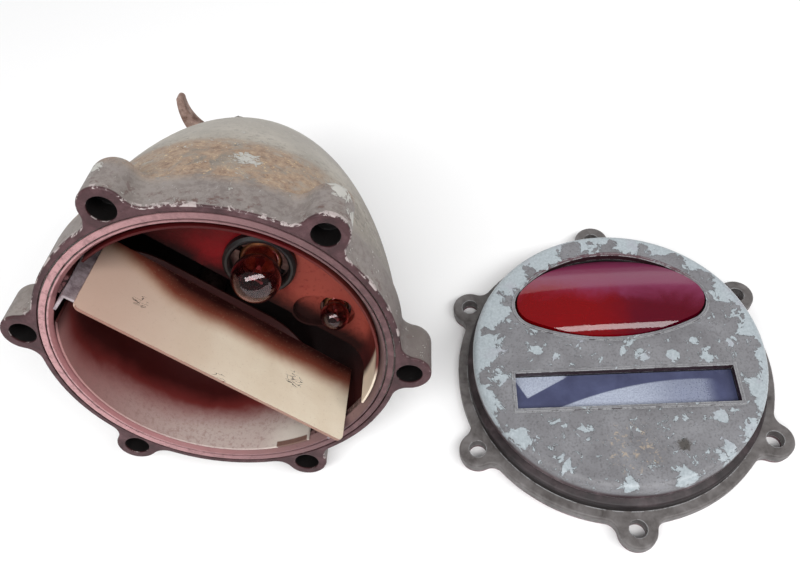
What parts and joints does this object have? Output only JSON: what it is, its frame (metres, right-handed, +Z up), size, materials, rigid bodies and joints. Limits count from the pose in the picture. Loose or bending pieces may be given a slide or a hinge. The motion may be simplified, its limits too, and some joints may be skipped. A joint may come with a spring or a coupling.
{
  "type": "tail light",
  "caption": "Round cast tail light taken apart: bowl housing with shelf, reflectors and bayonet lamps, and a six-eared door with an eye-shaped red lens and a slot lens.",
  "frame": {"origin": "centre of the whole layout's footprint, on the bench that the bowl and the door lie on", "axes": "+Z up from the bench; +X from the bowl towards the door; the bowl's mouth faces -Y, tipped 15 degrees up"},
  "size_m": [0.2841, 0.1877, 0.1416],
  "materials": {
    "bowl_paint": "worn taupe-grey paint over cast metal, with dirt and chipped edges",
    "door_paint": "olive-grey paint with pale blue-grey chips of bare casting",
    "rusty_steel": "brown rusted steel strap",
    "plated_steel": "dull plated steel",
    "cream_paint": "cream enamel, lightly soiled",
    "bare_sheet": "grey sheet metal",
    "white_paint": "white reflector paint stained brown",
    "red_brown_paint": "reflector stained orange-red and brown",
    "black_rubber": "aged black rubber",
    "gasket_rubber": "pinkish-grey flat gasket",
    "red_glass": "deep red domed glass",
    "slot_glass": "bluish glass with speckled pale zones",
    "clear_glass": "thin clear bulb glass",
    "brass": "tarnished brass",
    "wire": "bright wire",
    "insulator": "brown pressed board"
  },
  "bodies": {
    "housing": {"housing_shell": "bowl_paint", "mounting_studs": "plated_steel", "mounting_bracket": "rusty_steel", "lock_washers": "plated_steel", "mounting_nuts": "plated_steel", "cable_grommet": "black_rubber", "shelf_brackets": "bare_sheet", "bracket_rivets": "plated_steel", "upper_reflector": "red_brown_paint", "lower_reflector": "white_paint", "stop_lamp_ring": "black_rubber", "socket_leads": "black_rubber", "stop_socket_shell": "plated_steel", "stop_socket_boot": "black_rubber", "stop_contact_spring": "wire", "tail_socket_shell": "plated_steel", "tail_socket_boot": "black_rubber", "tail_contact_spring": "wire", "blackout_socket_shell": "plated_steel", "blackout_socket_boot": "black_rubber", "blackout_contact_spring": "wire"},
    "door": {"door_casting": "door_paint", "door_gasket": "gasket_rubber", "red_lens": "red_glass", "red_lens_gasket": "black_rubber", "red_lens_retainer": "plated_steel", "red_lens_screws": "plated_steel", "slot_lens": "slot_glass", "slot_lens_gasket": "black_rubber", "slot_lens_retainer": "plated_steel", "slot_lens_screws": "plated_steel"},
    "shelf": {"shelf_plate": "cream_paint"},
    "stop_bulb": {"stop_bulb_base": "brass", "stop_bulb_glass": "clear_glass", "stop_bulb_filament": "wire"},
    "stop_contact": {"stop_socket_insulator": "insulator", "stop_socket_contact": "brass"},
    "tail_bulb": {"tail_bulb_base": "brass", "tail_bulb_glass": "clear_glass", "tail_bulb_filament": "wire"},
    "tail_contact": {"tail_socket_insulator": "insulator", "tail_socket_contact": "brass"},
    "blackout_bulb": {"blackout_bulb_base": "brass", "blackout_bulb_glass": "clear_glass", "blackout_bulb_filament": "wire"},
    "blackout_contact": {"blackout_socket_insulator": "insulator", "blackout_socket_contact": "brass"}
  },
  "joints": [
    {"name": "door_lift", "type": "slide", "parent": "housing", "child": "door", "axis": [0, 0, 1], "range_m": [0, 0.12]},
    {"name": "shelf_slide", "type": "slide", "parent": "housing", "child": "shelf", "axis": [-0.0207, -0.9607, 0.2769], "range_m": [0, 0.045]},
    {"name": "stop_bulb_pull", "type": "slide", "parent": "housing", "child": "stop_bulb", "axis": [0, -0.9659, 0.2588], "range_m": [0, 0.03]},
    {"name": "tail_bulb_pull", "type": "slide", "parent": "housing", "child": "tail_bulb", "axis": [0, -0.9659, 0.2588], "range_m": [0, 0.025]},
    {"name": "blackout_bulb_pull", "type": "slide", "parent": "housing", "child": "blackout_bulb", "axis": [0, -0.9659, 0.2588], "range_m": [0, 0.025]},
    {"name": "stop_contact_push", "type": "slide", "parent": "housing", "child": "stop_contact", "axis": [0, -0.9659, 0.2588], "range_m": [-0.0015, 0], "stiffness_N_per_m": 1500, "deforming": ["stop_contact_spring"]},
    {"name": "tail_contact_push", "type": "slide", "parent": "housing", "child": "tail_contact", "axis": [0, -0.9659, 0.2588], "range_m": [-0.0015, 0], "stiffness_N_per_m": 1500, "deforming": ["tail_contact_spring"]},
    {"name": "blackout_contact_push", "type": "slide", "parent": "housing", "child": "blackout_contact", "axis": [0, -0.9659, 0.2588], "range_m": [-0.0015, 0], "stiffness_N_per_m": 1500, "deforming": ["blackout_contact_spring"]}
  ]
}
